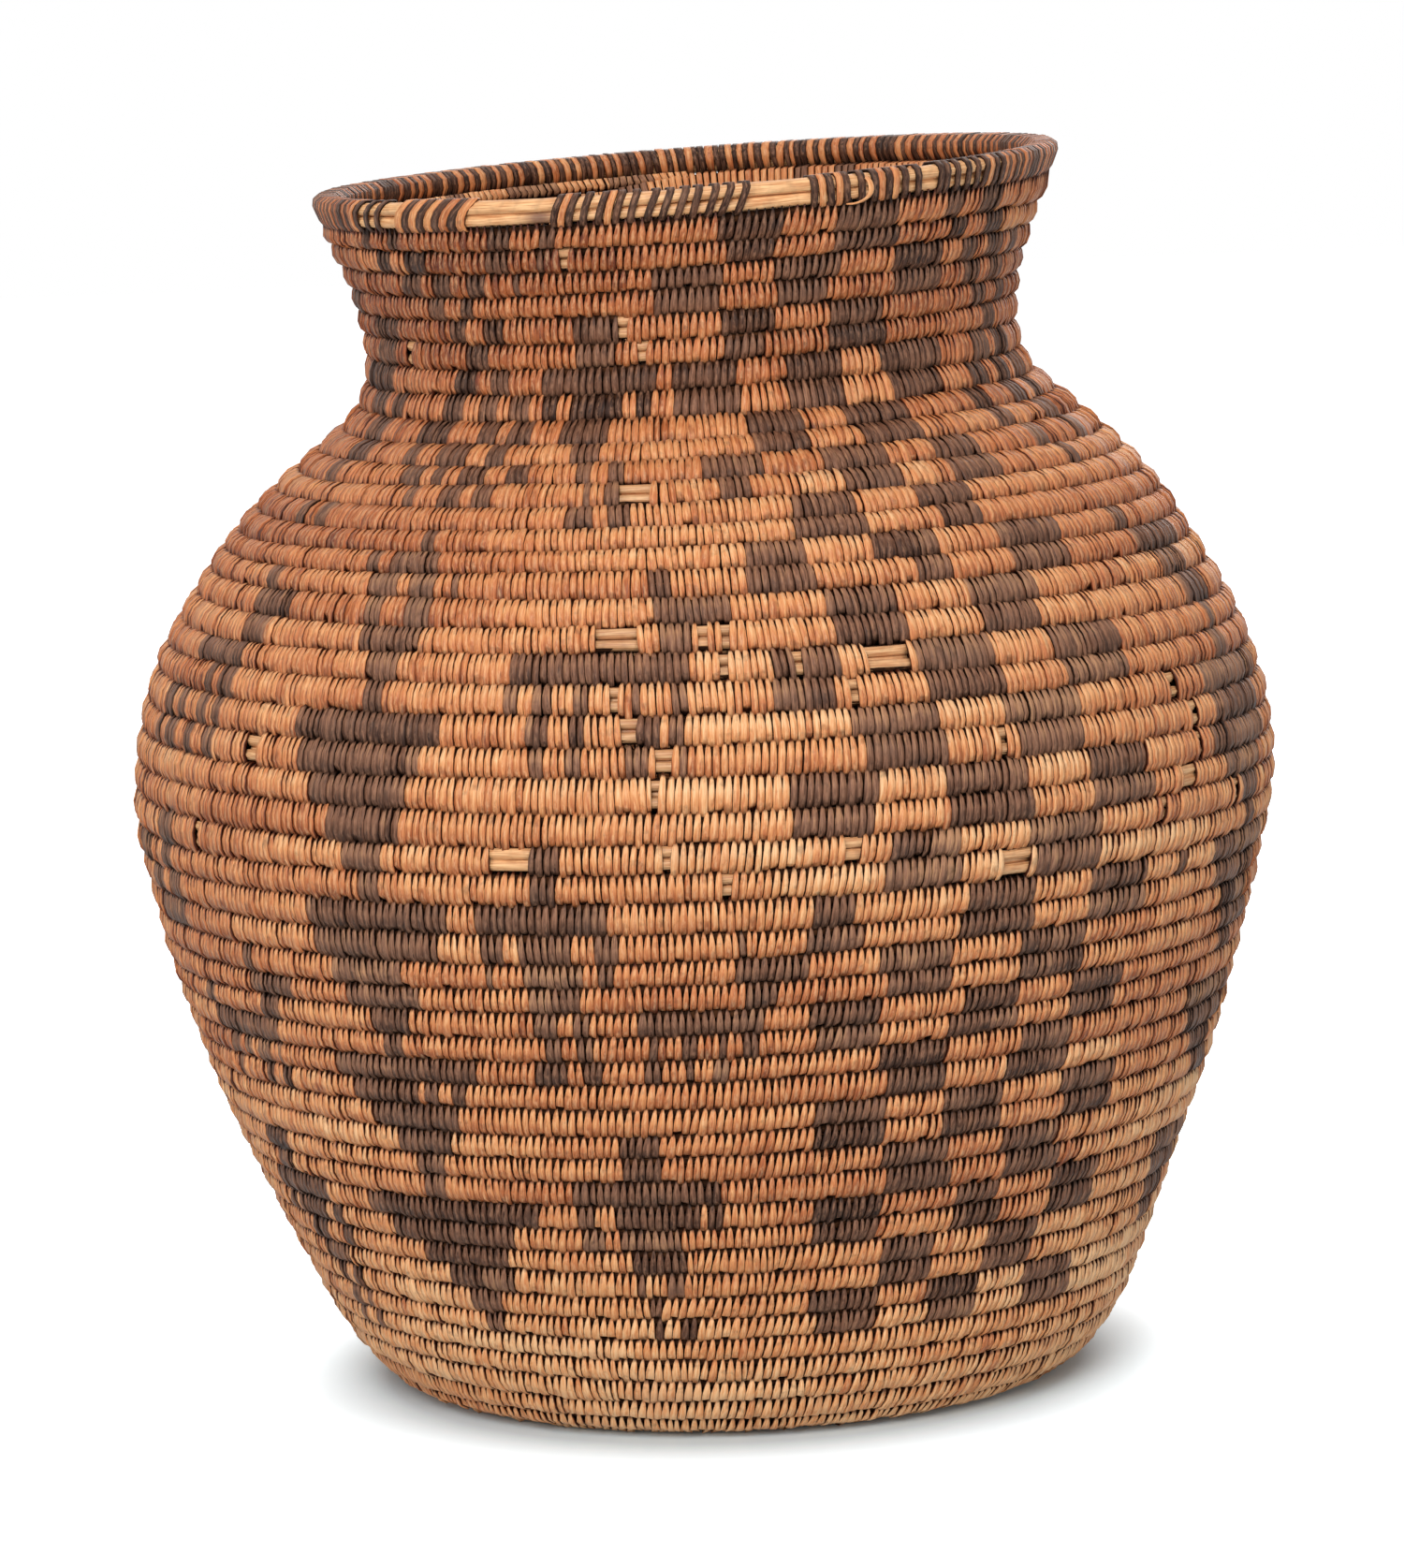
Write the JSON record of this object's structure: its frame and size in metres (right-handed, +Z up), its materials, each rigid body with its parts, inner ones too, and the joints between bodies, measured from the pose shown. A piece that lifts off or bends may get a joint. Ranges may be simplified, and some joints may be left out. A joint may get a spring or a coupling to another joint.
{
  "type": "figural coiled basket",
  "caption": "Jar-shaped coiled basket with a flared lashed rim, wide shoulder and narrow flat foot, for holding and storing dry goods.",
  "frame": {"origin": "middle of the bounding box's underside, on the surface that the basket stands on", "axes": "+Z up through the mouth, -Y towards the figured side that the picture shows, +X to that side's right"},
  "size_m": [0.2862, 0.2862, 0.309],
  "materials": {
    "tan_splint": "split peeled shoot, satin",
    "dark_splint": "split seed-pod skin, satin",
    "peeled_shoot": "whole peeled shoot, satin"
  },
  "bodies": {
    "root": {"start_knot": "tan_splint", "base_coil": "tan_splint", "foot_turn_01": "tan_splint", "foot_turn_02": "tan_splint", "foot_turn_03": "tan_splint", "foot_turn_04": "tan_splint", "foot_turn_05": "tan_splint", "foot_turn_06": "tan_splint", "lower_wall_turn_01": "tan_splint", "lower_wall_turn_02": "tan_splint", "lower_wall_turn_03": "tan_splint", "lower_wall_turn_04": "tan_splint", "lower_wall_turn_05": "tan_splint", "lower_wall_turn_06": "tan_splint", "lower_wall_turn_07": "tan_splint", "lower_wall_turn_08": "tan_splint", "lower_wall_turn_09": "tan_splint", "lower_wall_turn_10": "tan_splint", "lower_wall_turn_11": "tan_splint", "lower_wall_turn_12": "tan_splint", "lower_wall_turn_13": "tan_splint", "lower_wall_turn_14": "tan_splint", "belly_turn_01": "tan_splint", "belly_turn_02": "tan_splint", "belly_turn_03": "tan_splint", "belly_turn_04": "tan_splint", "belly_turn_05": "tan_splint", "belly_turn_06": "tan_splint", "belly_turn_07": "tan_splint", "belly_turn_08": "tan_splint", "belly_turn_09": "tan_splint", "belly_turn_10": "tan_splint", "belly_turn_11": "tan_splint", "belly_turn_12": "tan_splint", "shoulder_turn_01": "tan_splint", "shoulder_turn_02": "tan_splint", "shoulder_turn_03": "tan_splint", "shoulder_turn_04": "tan_splint", "shoulder_turn_05": "tan_splint", "shoulder_turn_06": "tan_splint", "shoulder_turn_07": "tan_splint", "shoulder_turn_08": "tan_splint", "neck_turn_01": "tan_splint", "neck_turn_02": "tan_splint", "neck_turn_03": "tan_splint", "neck_turn_04": "tan_splint", "neck_turn_05": "tan_splint", "neck_turn_06": "tan_splint", "neck_turn_07": "tan_splint", "neck_turn_08": "dark_splint", "rim_shoot_lower": "peeled_shoot", "rim_shoot_upper": "peeled_shoot", "rim_shoot_inner": "peeled_shoot", "rim_lashing_right": "tan_splint", "rim_lashing_back": "tan_splint", "rim_lashing_left": "tan_splint"}
  },
  "joints": []
}
